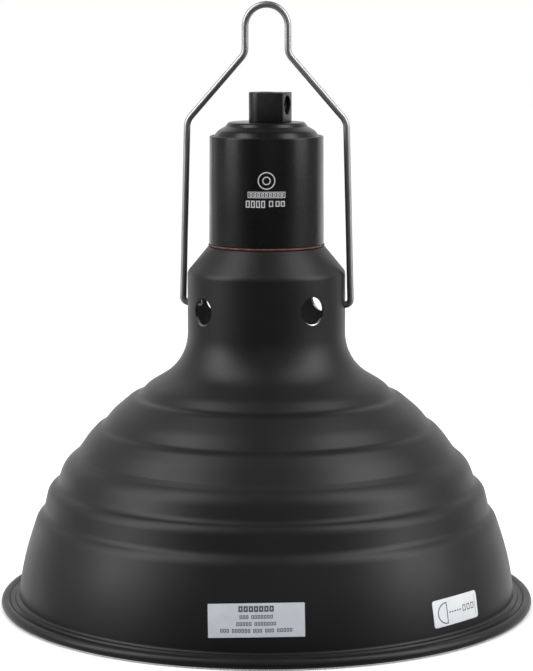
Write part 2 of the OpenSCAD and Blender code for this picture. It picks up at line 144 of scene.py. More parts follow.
GRIP_W = 13.4
GRIP_HEEL_X = -1.7
GRIP_FACE_X = 10.3
GRIP_TURN = -11
GRIP_TOP_Z = 243.5
GRIP_THREAD_R = 5.05
GRIP_THREAD_Z = 234.0
GRIP_BEVEL = 0.4
CORD_HOLE_R = 3.6
CLAMP_Z = 237.6
CLAMP_HOLE_R = 2.6
CLAMP_SEAT_X = 6.2
CLAMP_SEAT_R = 4.4
CLAMP_SCREW = dict(head_r=4.1, head_h=2.6, shank_r=2.5, length=2.0, edge=0.4)
CLAMP_SLOT_TURN = 35
SCREW_SHARP = 28

PORCELAIN_R = 18.7
PORCELAIN_BASE_Z = 150.5
PORCELAIN_TOP_Z = 192.0
MOUTH_R = 15.0
MOUTH_STEP_Z = 154.5
SHELL_SEAT_R = 14.2
SHELL_SEAT_Z = 179.5
SPRING_WELL_R = 4.2
SPRING_WELL_Z = 186.0
SHELL_T = 0.4
SHELL_BASE_Z = 155.2
THREAD_LAND_R = 12.2
THREAD_GROOVE_R = 13.3
THREAD_PITCH = 3.62
THREAD_TOP_Z = SHELL_BASE_Z + 5 * THREAD_PITCH
SHELL_HOLE_R = 7.4
SHELL_SCREW_CIRCLE = dict(turns=(60, 240), radius=10.6)
SHELL_SCREW_END_Z = PORCELAIN_TOP_Z + 3.6
SHELL_SCREW = dict(
    head_r=2.6, head_h=1.6, shank_r=1.5, length=SHELL_SCREW_END_Z - SHELL_SEAT_Z
)
HOLDER_SCREW_CIRCLE_R = 15
HOLDER_HOLE_R = 1.8
HOLDER_HOLE_DEPTH = 8
SPRING_STEM_HOLE_R = 2.0
PLUNGER_Z = 175.5
PLUNGER_HEAD_R = 3.5
PLUNGER_HEAD_H = 2
PLUNGER_STEM_R = 1.5
PLUNGER_TOP_Z = 194.6
SPRING_R = 2.8
SPRING_TURNS = 6
SPRING_WIRE_R = 0.3
SPRING_LOW_Z = PLUNGER_Z + PLUNGER_HEAD_H + SPRING_WIRE_R + 0.05
SPRING_HIGH_Z = SPRING_WELL_Z - SPRING_WIRE_R - 0.05

LABEL_GAP = 0.02
LABEL_T = 0.15
CAUTION = dict(size=(42.2, 14.4), corner=0.4, turn=-84.2, tilt=1.4, z=19.8)
DISTANCE = dict(size=(30.8, 12.0), corner=1.3, turn=-35.2, tilt=0.0, z=15.6)


# ---------- outlines ----------


def rounded(points):
    """The (x, y) outline through (x, y, radius) corners, each rounded by its radius."""
    line = [Vector(points[0][:2])]
    for before, corner, after in zip(points, points[1:], points[2:]):
        b = Vector(corner[:2])
        radius = corner[2]
        if not radius:
            line.append(b)
            continue
        u = (Vector(before[:2]) - b).normalized()
        v = (Vector(after[:2]) - b).normalized()
        half = acos(max(-1.0, min(1.0, u.dot(v)))) / 2
        centre = b + (u + v).normalized() * radius / sin(half)
        first = b + u * radius / tan(half) - centre
        last = b + v * radius / tan(half) - centre
        start = atan2(first.y, first.x)
        sweep = (atan2(last.y, last.x) - start + pi) % (2 * pi) - pi
        steps = max(3, ceil(abs(degrees(sweep)) / 6), ceil(abs(sweep) * radius / 4))
        for k in range(steps + 1):
            turn = start + sweep * k / steps
            line.append(centre + radius * Vector((cos(turn), sin(turn))))
    line.append(Vector(points[-1][:2]))
    return line


def moved_in(line, distance):
    """The same line moved to the right of its direction."""
    moved = []
    for i, p in enumerate(line):
        along = (line[min(i + 1, len(line) - 1)] - line[max(i - 1, 0)]).normalized()
        moved.append(p + distance * Vector((along.y, -along.x)))
    return moved


def arc(centre, radius, first, last, step=9):
    """Points of an arc from one angle to another, in degrees."""
    steps = max(2, ceil(abs(last - first) / step))
    turns = [radians(first + (last - first) * k / steps) for k in range(steps + 1)]
    return [Vector((centre[0] + radius * cos(t), centre[1] + radius * sin(t))) for t in turns]


# ---------- mesh making ----------


def new_piece(name, vertices, faces, materials, face_slots=None, sharp=35):
    """A mesh object from millimetre vertices, smooth except at edges over the sharp angle."""
    mesh = bpy.data.meshes.new(name)
    mesh.from_pydata([tuple(c * MM for c in v) for v in vertices], [], faces)
    for material in materials:
        mesh.materials.append(material)
    if face_slots:
        mesh.polygons.foreach_set("material_index", face_slots)
    obj = bpy.data.objects.new(name, mesh)
    bpy.context.scene.collection.objects.link(obj)
    tidy_normals(obj, sharp)
    return obj


def tidy_normals(obj, sharp=35):
    """Faces turned outwards, and shaded smooth except across sharp edges."""
    work = bmesh.new()
    work.from_mesh(obj.data)
    bmesh.ops.remove_doubles(work, verts=work.verts, dist=1e-7)
    bmesh.ops.recalc_face_normals(work, faces=work.faces)
    for edge in work.edges:
        edge.smooth = len(edge.link_faces) == 2 and edge.calc_face_angle(0) < radians(sharp)
    for face in work.faces:
        face.smooth = True
    work.to_mesh(obj.data)
    work.free()


def lathe(name, outline, materials, slots=None, steps=ROUND, sharp=35):
    """A closed outline of (radius, height) points turned about Z, with a slot per point."""
    turns = [2 * pi * k / steps for k in range(steps)]
    vertices, rings = [], []
    for r, z in outline:
        if r < 1e-6:
            rings.append([len(vertices)])
            vertices.append((0, 0, z))
            continue
        rings.append(list(range(len(vertices), len(vertices) + steps)))
        vertices += [(r * cos(t), r * sin(t), z) for t in turns]
    faces, face_slots = [], []
    for i in range(len(outline)):
        a, b = rings[i], rings[(i + 1) % len(outline)]
        if len(a) == 1 and len(b) == 1:
            continue
        for k in range(steps):
            n = (k + 1) % steps
            if len(a) == 1:
                faces.append((a[0], b[k], b[n]))
            elif len(b) == 1:
                faces.append((a[k], a[n], b[0]))
            else:
                faces.append((a[k], a[n], b[n], b[k]))
            face_slots.append(slots[i] if slots else 0)
    return new_piece(name, vertices, faces, materials, face_slots, sharp)


def tube(name, path, radius, material, sides, tip):
    """Round wire along a path of points, its ends closed with a rounded tip."""
    points = [Vector(p) for p in path]
    tangents = []
    for i in range(len(points)):
        tangents.append((points[min(i + 1, len(points) - 1)] - points[max(i - 1, 0)]).normalized())
    side = tangents[0].orthogonal().normalized()
    rings = []
    for p, t in zip(points, tangents):
        side = (side - t * side.dot(t)).normalized()
        rings.append((p, side.copy(), t.cross(side), radius))
    for end, sign in ((0, -1), (-1, 1)):
        p, u, v, _ = rings[end]
        extra = []
        for turn in (radians(30), radians(60), radians(85)):
            place = p + sign * tangents[end] * tip * sin(turn)
            extra.append((place, u, v, radius - tip * (1 - cos(turn))))
        rings = extra[::-1] + rings if end == 0 else rings + extra
    vertices, faces = [], []
    for p, u, v, r in rings:
        for k in range(sides):
            turn = 2 * pi * k / sides
            vertices.append(tuple(p + r * (cos(turn) * u + sin(turn) * v)))
    for i in range(len(rings) - 1):
        for k in range(sides):
            n = (k + 1) % sides
            here, after = i * sides, (i + 1) * sides
            faces.append((here + k, here + n, after + n, after + k))
    faces.append(tuple(range(sides)))
    last = (len(rings) - 1) * sides
    faces.append(tuple(last + k for k in range(sides)))
    return new_piece(name, vertices, faces, [material])


def extruded(name, outline, low, high, material):
    """A flat outline of (x, y) points raised from one height to another."""
    count = len(outline)
    vertices = [(p[0], p[1], z) for z in (low, high) for p in outline]
    faces = [tuple(range(count)), tuple(range(count, 2 * count))]
    faces += [(k, (k + 1) % count, count + (k + 1) % count, count + k) for k in range(count)]
    return new_piece(name, vertices, faces, [material])


def apply_modifiers(obj):
    """The object's mesh as its modifiers leave it."""
    depsgraph = bpy.context.evaluated_depsgraph_get()
    done = bpy.data.meshes.new_from_object(obj.evaluated_get(depsgraph))
    obj.modifiers.clear()
    obj.data = done


def bevelled(obj, width):
    """The object with its sharp edges rounded over a width in millimetres."""
    edges = obj.modifiers.new("edges", "BEVEL")
    edges.width = width * MM
    edges.segments = 3
    edges.limit_method = "ANGLE"
    edges.angle_limit = radians(40)
    edges.use_clamp_overlap = True
    apply_modifiers(obj)
    tidy_normals(obj)
    return obj


def cut(obj, cutters, sharp=35):
    """Each cutter taken out of the object; the new faces keep the cutter's material."""
    for cutter in cutters:
        hole = obj.modifiers.new("hole", "BOOLEAN")
        hole.operation = "DIFFERENCE"
        hole.solver = "EXACT"
        hole.material_mode = "TRANSFER"
        hole.object = cutter
        bpy.context.view_layer.update()
        apply_modifiers(obj)
        bpy.data.objects.remove(cutter)
    tidy_normals(obj, sharp)
    return obj


def placed(obj, matrix):
    """The object's mesh moved by a matrix whose shift is in millimetres."""
    matrix = matrix.copy()
    matrix.translation = matrix.translation * MM
    obj.data.transform(matrix)
    return obj


def joined(name, pieces, sharp=35):
    """One mesh object made of several."""
    work = bmesh.new()
    materials = []
    for piece in pieces:
        before = len(work.faces)
        work.from_mesh(piece.data)
        own = list(piece.data.materials)
        for material in own:
            if material not in materials:
                materials.append(material)
        work.faces.ensure_lookup_table()
        for face in work.faces[before:]:
            face.material_index = materials.index(own[face.material_index])
        bpy.data.objects.remove(piece)
    mesh = bpy.data.meshes.new(name)
    work.to_mesh(mesh)
    work.free()
    for material in materials:
        mesh.materials.append(material)
    obj = bpy.data.objects.new(name, mesh)
    bpy.context.scene.collection.objects.link(obj)
    tidy_normals(obj, sharp)
    return obj


def finished(obj, body, slot, *nodes):
    """The piece rides on its body and stands for its CAD nodes, which are hidden; slot is not
    used.
    """
    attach(obj, body)
    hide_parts(*nodes)
    return obj


def turned(angle):
    """A turn about Z, in degrees."""
    return Matrix.Rotation(radians(angle), 4, "Z")


def shifted(x, y, z):
    """A shift in millimetres."""
    return Matrix.Translation((x, y, z))


def out_at(angle, radius, z):
    """A shift out to a radius at a height, then a turn about Z."""
    return turned(angle) @ shifted(radius, 0, z)


LYING = Matrix.Rotation(pi / 2, 4, "Y")
UPSIDE_DOWN = Matrix.Rotation(pi, 4, "X")


# ---------- material nodes ----------


class Finish:
    """A Principled material, with short ways to add the nodes that vary it."""

    def __init__(self, name, colour, roughness, metallic=0.0, **sockets):
        self.material = bpy.data.materials.new(name)
        self.material.use_nodes = True
        self.material.diffuse_color = (*colour, 1)
        self.tree = self.material.node_tree
        self.shader = self.tree.nodes["Principled BSDF"]
        self.shader.inputs["Base Color"].default_value = (*colour, 1)
        self.shader.inputs["Roughness"].default_value = roughness
        self.shader.inputs["Metallic"].default_value = metallic
        for socket, value in sockets.items():
            self.shader.inputs[socket.replace("_", " ")].default_value = value
        self.place = self.tree.nodes.new("ShaderNodeTexCoord").outputs["Object"]

    def node(self, kind, **inputs):
        """A new node with its named inputs set or linked."""
        made = self.tree.nodes.new(kind)
        for name, value in inputs.items():
            self.put(made.inputs[name.replace("_", " ")], value)
        return made

    def put(self, socket, value):
        """A link from an output, or else a constant, into a socket."""
        if isinstance(value, bpy.types.NodeSocket):
            self.tree.links.new(value, socket)
        else:
            socket.default_value = value

    def math(self, operation, a, b=0.0):
        """The result of one operation on two values."""
        made = self.tree.nodes.new("ShaderNodeMath")
        made.operation = operation
        self.put(made.inputs[0], a)
        self.put(made.inputs[1], b)
        return made.outputs[0]

    def times(self, a, b):
        """The product of two values."""
        return self.math("MULTIPLY", a, b)

    def minus(self, a, b):
        """The first value less the second."""
        return self.math("SUBTRACT", a, b)

    def noise(self, size, detail=2.0, stretch=(1, 1, 1), place=None):
        """Noise from 0 to 1 whose lumps are about size millimetres across."""
        spread = self.node("ShaderNodeMapping", Vector=place or self.place, Scale=stretch)
        made = self.node(
            "ShaderNodeTexNoise", Vector=spread.outputs[0], Scale=1 / (size * MM), Detail=detail
        )
        return made.outputs["Fac"]

    def between(self, value, low, high, start=0.3, end=0.7):
        """The value's range from start to end mapped to low to high."""
        made = self.tree.nodes.new("ShaderNodeMapRange")
        for socket, number in zip(made.inputs[:5], (value, start, end, low, high)):
            self.put(socket, number)
        return made.outputs[0]

    def mixed(self, factor, first, second):
        """One colour going over to another as factor goes from 0 to 1."""
        made = self.tree.nodes.new("ShaderNodeMix")
        made.data_type = "RGBA"
        self.put(made.inputs[0], factor)
        for socket, value in ((made.inputs[6], first), (made.inputs[7], second)):
            self.put(socket, value if isinstance(value, bpy.types.NodeSocket) else (*value, 1))
        return made.outputs[2]

    def cloud(self, size, detail, first, second):
        """A colour that drifts between two, in lumps about size millimetres across."""
        return self.mixed(self.between(self.noise(size, detail), 0, 1), first, second)

    def paint(self, colour):
        """The material's base colour."""
        self.put(self.shader.inputs["Base Color"], colour)

    def rough(self, value):
        """The material's roughness."""
        self.put(self.shader.inputs["Roughness"], value)

    def bump(self, height, depth):
        """Relief whose full height is depth millimetres."""
        normal = self.shader.inputs["Normal"]
        below = normal.links[0].from_socket if normal.links else None
        made = self.node("ShaderNodeBump", Height=height, Distance=depth * MM, Strength=1.0)
        if below:
            self.put(made.inputs["Normal"], below)
        self.put(normal, made.outputs[0])

    def length(self, x, y):
        """The length of a flat vector."""
        squares = self.math("ADD", self.times(x, x), self.times(y, y))
        return self.math("SQRT", squares)

    def spun(self):
        """A vector that changes little round the axis, for the lines of spinning."""
        x, y, z = self.node("ShaderNodeSeparateXYZ", Vector=self.place).outputs
        around = self.times(self.math("ARCTAN2", y, x), 0.002)
        return self.node("ShaderNodeCombineXYZ", X=self.length(x, y), Y=around, Z=z).outputs[0]

    def facing(self, turn, height, tilt=0.0):
        """Millimetres across, up and outward on a print that faces out at turn degrees."""
        turned_back = (0, 0, radians(-90 - turn))
        spun = self.node("ShaderNodeMapping", Vector=self.place, Rotation=turned_back)
        parts = self.node("ShaderNodeSeparateXYZ", Vector=spun.outputs[0])
        across, inward, up = (self.times(p, 1 / MM) for p in parts.outputs)
        level = self.minus(up, height)
        if tilt:
            level = self.minus(level, self.times(across, tan(radians(tilt))))
        return across, level, self.times(inward, -1)

    def soft_step(self, distance, blur=0.06):
        """1 where the distance in millimetres is under 0, going to 0 over the blur."""
        return self.between(distance, 1.0, 0.0, -blur, blur)

    def outside(self, value, half, centre=0.0):
        """How far a value is outside half either way of a centre; it is under 0 inside."""
        away = self.math("ABSOLUTE", self.minus(value, centre))
        return self.minus(away, half)

    def bar(self, across, up, centre_x, centre_y, width, height):
        """1 inside a plain printed bar."""
        dx = self.outside(across, width / 2, centre_x)
        dy = self.outside(up, height / 2, centre_y)
        return self.soft_step(self.math("MAXIMUM", dx, dy))

    def boxes(self, across, up, centre_x, centre_y, count, pitch, width, height, line):
        """1 on the lines of a row of small printed boxes, which stand in for letters."""
        from_centre = self.minus(across, centre_x)
        cell = self.math("ADD", self.times(from_centre, 1 / pitch), count / 2)
        in_cell = self.times(self.minus(self.math("FRACT", cell), 0.5), pitch)
        dx = self.outside(in_cell, width / 2)
        dy = self.outside(up, height / 2, centre_y)
        depth = self.math("ADD", self.math("MAXIMUM", dx, dy), line / 2)
        on_line = self.soft_step(self.outside(depth, line / 2))
        in_row = self.soft_step(self.outside(from_centre, count * pitch / 2))
        return self.times(on_line, in_row)

    def circle_line(self, across, up, centre_x, centre_y, radius, width):
        """1 on a printed circle's line."""
        x = self.minus(across, centre_x)
        y = self.minus(up, centre_y)
        return self.soft_step(self.outside(self.length(x, y), width / 2, radius))

    def any_of(self, masks):
        """The highest of several masks."""
        total = masks[0]
        for mask in masks[1:]:
            total = self.math("MAXIMUM", total, mask)
        return total


# ---------- materials ----------


def shade_paint():
    """Matte black powder coat: fine orange peel, faint cloudiness and specks."""
    m = Finish("shade_powder_coat", (0.0040, 0.0040, 0.0043), 0.43)
    m.paint(m.cloud(38, 3, (0.0035, 0.0035, 0.0038), (0.0047, 0.0047, 0.0050)))
    m.rough(m.between(m.noise(24, 4), 0.41, 0.47))
    m.bump(m.noise(0.9, 2), 0.022)
    m.bump(m.noise(0.28, 1), 0.005)
    return m.material


def spun_aluminium():
    """Bare spun sheet: satin lines round the axis, and darker, rougher and not metallic from about
    112 mm up, inside the neck.
    """
    m = Finish("spun_aluminium", (0.80, 0.80, 0.81), 0.36, metallic=1.0)
    lines = m.noise(0.35, 4, place=m.spun())
    broad = m.noise(5, 2, place=m.spun())
    height = m.node("ShaderNodeSeparateXYZ", Vector=m.place).outputs[2]
    ragged = m.math("ADD", height, m.times(m.noise(4, 4), 0.012))
    # Darker, rougher and not metallic going up from about 112 mm to 134 mm, with a ragged edge.
    dark_above = m.between(ragged, 0, 1, 0.112, 0.134)
    bare = m.mixed(m.between(broad, 0, 1), (0.74, 0.74, 0.75), (0.84, 0.84, 0.84))
    m.paint(m.mixed(dark_above, bare, (0.11, 0.11, 0.112)))
    m.put(m.shader.inputs["Metallic"], m.minus(1.0, dark_above))
    satin = m.between(m.noise(9, 3), 0.30, 0.42)
    m.rough(m.math("ADD", satin, m.times(dark_above, 0.2)))
    m.bump(lines, 0.012)
    return m.material


def vent_edge():
    """The edge of a vent: black paint, with bright bare metal along the bottom as a painted
    highlight, full on the +X side and weaker on the -X side.
    """
    m = Finish("vent_edge", (0.01, 0.01, 0.01), 0.3)
    side, _, height = m.node("ShaderNodeSeparateXYZ", Vector=m.place).outputs
    ragged = m.math("ADD", height, m.times(m.noise(1.5, 3), 0.002))
    low = m.between(ragged, 1, 0, 0.1400, 0.1415)
    # Painted highlight: bright bare metal on the bottom of each vent's edge, five times stronger
    # on the +X side than on the -X side.
    highlight_metal = m.times(low, m.between(side, 0.2, 1, -0.02, 0.02))
    m.paint(m.mixed(highlight_metal, (0.006, 0.006, 0.006), (0.80, 0.80, 0.81)))
    m.put(m.shader.inputs["Metallic"], highlight_metal)
    m.rough(m.between(m.noise(0.6, 3), 0.28, 0.42))
    m.bump(m.noise(0.25, 2), 0.004)
    return m.material


def polished_wire():
    """Polished stainless wire with faint drawing lines."""
    m = Finish("polished_wire", (0.55, 0.55, 0.56), 0.4, metallic=1.0)
    lines = m.noise(0.5, 3, stretch=(1, 1, 0.04))
    m.paint(m.cloud(16, 2, (0.50, 0.50, 0.51), (0.60, 0.60, 0.61)))
    m.rough(m.between(lines, 0.36, 0.44))
    m.bump(lines, 0.002)
    return m.material


def cover_paint(name="cover_satin_paint"):
    """Satin black paint on the socket cover, ready for a print."""
    m = Finish(name, (0.0035, 0.0035, 0.0038), 0.28)
    m.paint(m.cloud(22, 3, (0.0030, 0.0030, 0.0032), (0.0042, 0.0042, 0.0045)))
    m.rough(m.between(m.noise(15, 4), 0.25, 0.32))
    m.bump(m.noise(1.3, 2), 0.012)
    return m


def printed_cover_paint():
    """The sleeve's paint with a plain printed mark: rings and rows of small boxes."""
    m = cover_paint("cover_printed_paint")
    across, up, outward = m.facing(-82, 203.8)
    marks = [
        m.circle_line(across, up, 0, 0, 3.8, 0.5),
        m.circle_line(across, up, 0, 0, 1.7, 0.5),
        m.boxes(across, up, 0, -6.5, 1, 17.4, 17.4, 2.9, 0.35),
        m.boxes(across, up, 0, -6.5, 9, 1.78, 1.3, 1.7, 0.42),
        m.boxes(across, up, -5.1, -10.8, 4, 2.35, 1.8, 3.3, 0.5),
        m.boxes(across, up, 2.1, -10.6, 1, 2.0, 2.0, 2.8, 0.45),
        m.boxes(across, up, 6.3, -10.6, 2, 2.4, 1.9, 2.6, 0.5),
    ]
    front = m.between(outward, 0, 1, 0, 1)
    mask = m.times(m.any_of(marks), front)
    worn = m.times(mask, m.between(m.noise(0.35, 2), 0.72, 1.0))
    paint = m.shader.inputs["Base Color"].links[0].from_socket
    m.paint(m.mixed(worn, paint, (0.46, 0.46, 0.47)))
    return m.material


def gasket_rubber():
    """Dusty red-brown silicone."""
    m = Finish("gasket_rubber", (0.12, 0.033, 0.03), 0.62)
    m.paint(m.cloud(2.4, 4, (0.048, 0.014, 0.013), (0.15, 0.060, 0.055)))
    m.rough(m.between(m.noise(1.2, 2), 0.52, 0.72))
    m.bump(m.noise(0.5, 3), 0.02)
    return m.material


def moulded_nylon(name, colour, roughness):
    """Moulded black nylon with a fine spark texture."""
    m = Finish(name, colour, roughness)
    lighter = tuple(c * 1.35 for c in colour)
    m.paint(m.cloud(6, 3, colour, lighter))
    m.rough(m.between(m.noise(3, 3), roughness - 0.05, roughness + 0.06))
    m.bump(m.noise(0.22, 2), 0.008)
    return m.material


def zinc_plate():
    """Bright zinc plate with faint blue and yellow patches."""
    m = Finish("zinc_plate", (0.62, 0.63, 0.65), 0.3, metallic=1.0)
    m.paint(m.cloud(3.5, 3, (0.58, 0.61, 0.66), (0.68, 0.66, 0.60)))
    m.rough(m.between(m.noise(0.8, 3), 0.24, 0.40))
    m.bump(m.noise(0.2, 2), 0.004)
    return m.material


def glazed_porcelain():
    """White glaze with a slow ripple and a few tiny dark specks."""
    m = Finish("white_glaze", (0.84, 0.83, 0.79), 0.12, Coat_Weight=0.5, Coat_Roughness=0.05)
    tone = m.cloud(14, 2, (0.80, 0.79, 0.745), (0.87, 0.86, 0.825))
    specks = m.between(m.noise(0.55, 1), 0, 0.5, 0.78, 0.83)
    m.paint(m.mixed(specks, tone, (0.30, 0.25, 0.2)))
    m.rough(m.between(m.noise(6, 3), 0.09, 0.18))
    m.bump(m.noise(7, 2), 0.06)
    return m.material


def plated_metal(name, dark, light, low, high, grain=0.6):
    """Sheet or wire with slow tarnish and a fine grain."""
    m = Finish(name, light, (low + high) / 2, metallic=1.0)
    m.paint(m.cloud(5, 4, dark, light))
    m.rough(m.between(m.noise(grain, 3), low, high))
    m.bump(m.noise(grain / 2, 2), 0.004)
    return m.material


def caution_foil():
    """Satin silver label with rows of small boxes in place of print."""
    m = Finish("silver_label", (0.44, 0.46, 0.49), 0.38, Specular_IOR_Level=0.4)
    across, up, _ = m.facing(CAUTION["turn"], CAUTION["z"], CAUTION["tilt"])
    base = m.cloud(9, 2, (0.37, 0.39, 0.42), (0.41, 0.43, 0.46))
    heading = m.boxes(across, up, -0.1, 4.8, 7, 2.25, 1.9, 2.5, 0.72)
    pitch, gap = 1.38, 1.0
    rows = [(1.45, (3, 7)), (-1.5, (5, 7)), (-4.4, (3, 6, 3, 3, 5))]
    words = []
    for level, counts in rows:
        x = -(sum(counts) * pitch + gap * (len(counts) - 1)) / 2
        for count in counts:
            middle = x + count * pitch / 2
            words.append(m.boxes(across, up, middle, level, count, pitch, 1.1, 1.6, 0.38))
            x += count * pitch + gap
    mask = m.math("MAXIMUM", heading, m.times(m.any_of(words), 0.95))
    worn = m.times(mask, m.between(m.noise(0.3, 2), 0.85, 1.0))
    m.paint(m.mixed(worn, base, (0.018, 0.018, 0.022)))
    m.rough(m.between(m.noise(0.5, 3, stretch=(1, 1, 6)), 0.33, 0.44))
    m.bump(m.noise(0.4, 2), 0.003)
    return m.material


def distance_film():
    """White film label with a plain half disc, a dotted line and three small boxes."""
    m = Finish("white_label", (0.62, 0.64, 0.66), 0.34, Specular_IOR_Level=0.4)
    across, up, _ = m.facing(DISTANCE["turn"], DISTANCE["z"])
    base = m.cloud(7, 2, (0.59, 0.61, 0.63), (0.65, 0.665, 0.68))
    side = -6.8
    from_side = m.minus(across, side)
    oval = m.circle_line(m.times(from_side, 0.81), up, 0, -0.4, 4.6, 0.5)
    marks = [
        m.times(oval, m.soft_step(from_side)),
        m.bar(across, up, side, -0.4, 0.55, 9.6),
        m.boxes(across, up, 8.1, -0.2, 3, 3.1, 2.2, 2.8, 0.45),
    ]
    marks += [m.bar(across, up, -4.9 + 1.75 * k, -0.4, 1.1, 0.6) for k in range(5)]
    edge = m.times(m.bar(across, up, 13.5, -0.2, 0.5, 9.2), 0.5)
    mask = m.math("MAXIMUM", m.times(m.any_of(marks), 0.95), edge)
    m.paint(m.mixed(mask, base, (0.035, 0.04, 0.045)))
    m.rough(m.between(m.noise(4, 3), 0.28, 0.40))
    m.bump(m.noise(0.6, 2), 0.003)
    return m.material


def backdrop_white():
    """Matt white for the floor."""
    m = Finish("studio_white", (0.86, 0.86, 0.86), 0.9)
    m.paint(m.cloud(400, 2, (0.85, 0.85, 0.85), (0.87, 0.87, 0.87)))
    return m.material


PAINT = shade_paint()
ALUMINIUM = spun_aluminium()
VENT_EDGE = vent_edge()
WIRE = polished_wire()
COVER = cover_paint().material
COVER_PRINT = printed_cover_paint()
GASKET = gasket_rubber()
GRIP = moulded_nylon("grip_nylon", (0.005, 0.005, 0.0053), 0.38)
CLAMP = moulded_nylon("clamp_nylon", (0.004, 0.004, 0.004), 0.45)
ZINC = zinc_plate()
PORCELAIN = glazed_porcelain()
NICKEL = plated_metal("nickel_shell", (0.62, 0.58, 0.50), (0.72, 0.70, 0.64), 0.16, 0.30)
BRASS = plated_metal("plain_brass", (0.60, 0.42, 0.16), (0.76, 0.57, 0.26), 0.20, 0.36)
SPRING = plated_metal("spring_wire", (0.42, 0.42, 0.44), (0.56, 0.56, 0.58), 0.20, 0.34, 0.3)
FOIL = caution_foil()
FILM = distance_film()


# ---------- shade ----------


def hole_cutter(radius, length, material, steps=HOLE_ROUND):
    """A cylinder from height 0 up, for cutting a hole."""
    line = [(0, 0), (radius, 0), (radius, length), (0, length)]
    return lathe("cutter", line, [material], steps=steps)


def vent_cutter():
    """A cylinder that widens just under the neck's surface, for a chamfered edge that carries the
    painted highlight.
    """
    start = CUTTER_REACH - VENT_SUNK
    wide_r = VENT_R + VENT_FLARE
    line = [(0, 0), (VENT_R, 0), (VENT_R, start), (wide_r, start + 1), (0, start + 1)]
    return lathe("cutter", line, [VENT_EDGE], steps=SMALL_ROUND)


def screw_cutters(low, length, material, turns, radius):
    """Cutters for screw holes on a circle, from a height up."""
    cutters = []
    for turn in turns:
        hole = hole_cutter(SCREW_HOLE_R, length, material)
        cutters.append(placed(hole, out_at(turn, radius, low)))
    return cutters


def shade():
    """Spun dome and neck with a rolled rim, painted outside and bare inside, and its holes."""
    outer = rounded(SHADE_OUTLINE)
    inner = moved_in(outer, SHEET_T)
    foot = SHADE_OUTLINE[-1]
    flange_end = BEAD_CENTRE_R - BEAD_R
    rim_top = rounded([foot, FOOT_CORNER, *LEDGE, (flange_end, FLANGE_Z, 0)])[1:]
    centre = (BEAD_CENTRE_R, BEAD_Z)
    bore = BEAD_R - SHEET_T
    under_z = FLANGE_Z - SHEET_T
    flat_half = degrees(acos(BEAD_Z / BEAD_R))
    bead_start = 180 - degrees(asin((FLANGE_Z - BEAD_Z) / BEAD_R))
    bead_top = arc(centre, BEAD_R, bead_start, PAINT_END, 7)
    bead_under = arc(centre, BEAD_R, PAINT_END, -90 + flat_half, 7)[1:]
    bead_curl = arc(centre, BEAD_R, -90 - flat_half, CURL_END, 9)
    bore_end = 180 - degrees(asin((under_z - BEAD_Z) / bore))
    bead_bore = arc(centre, bore, CURL_END, bore_end, 14)
    under = rounded([
        (inner[-1].x, inner[-1].y, 0),
        (FOOT_CORNER[0] - SHEET_T, under_z, 1.5),
        (flange_end, under_z, 0),
    ])[1:]
    painted = outer + rim_top + bead_top
    bare = bead_under + bead_curl + bead_bore + under[::-1] + inner[::-1]
    slots = [0] * (len(painted) - 1) + [1] * (len(bare) + 1)
    obj = lathe("shade_shell", painted + bare, [PAINT, ALUMINIUM], slots, FINE_ROUND)
    cutters = []
    cutter_r = NECK_R - CUTTER_REACH
    for turn, height in VENTS:
        cutters.append(placed(vent_cutter(), out_at(turn, cutter_r, height) @ LYING))
    for turn in (0, 180):
        pivot = hole_cutter(PIVOT_HOLE_R, 2 * CUTTER_REACH, VENT_EDGE, 48)
        cutters.append(placed(pivot, out_at(turn, cutter_r, HINGE_Z) @ LYING))
    cutters += screw_cutters(SEAT_Z - 2.6, 4, VENT_EDGE, **COVER_SCREW_CIRCLE)
    return cut(obj, [joined("cutters", cutters)], SHADE_SHARP)


finished(shade(), "fixture", "shade_paint", "shade")


# ---------- bail ----------


def bail():
    """One bent wire from pivot to pivot, with the hanging loop at its top."""
    spacing, least = 6, 0.05
    half = rounded(BAIL_LINE)
    loop = arc((0, LOOP_Z), LOOP_R, 0, 180, 6)[1:-1]
    line = half + loop + [Vector((-p.x, p.y)) for p in half[::-1]]
    path = [line[0]]
    for a, b in zip(line, line[1:]):
        pieces = ceil((b - a).length / spacing)
        for k in range(1, pieces + 1):
            p = a.lerp(b, k / pieces)
            if (p - path[-1]).length > least:
                path.append(p)
    return tube("bail_wire", [(p.x, 0, p.y) for p in path], WIRE_R, WIRE, sides=32, tip=0.35)


finished(bail(), "bail", "bail_wire", "bail")


# ---------- socket cover ----------


def sleeve():
    """Painted tube that turns in to a flange at its foot."""
    flange_top = SLEEVE_BASE_Z + SLEEVE_FLANGE_T
    outline = rounded([
        (FLANGE_HOLE_R, SLEEVE_BASE_Z, 0),
        (SLEEVE_BASE_R, SLEEVE_BASE_Z, 0.45),
        (SLEEVE_TOP_R, SLEEVE_TOP_Z, 0.6),
        (SLEEVE_BORE_R, SLEEVE_TOP_Z, 0.25),
        (SLEEVE_BORE_R, flange_top, 0.8),
        (FLANGE_HOLE_R, flange_top, 0),
    ])
    obj = lathe("cover_sleeve_tube", outline, [COVER_PRINT])
    holes = screw_cutters(SLEEVE_BASE_Z - 1, 4, COVER_PRINT, **COVER_SCREW_CIRCLE)
    return cut(obj, [joined("holes", holes)])


def cap():
    """Domed cap with a raised disc, its skirt inside the sleeve."""
    face = rounded(CAP_OUTLINE)
    return lathe("cover_cap_dome", face + moved_in(face, SHEET_T)[::-1], [COVER])


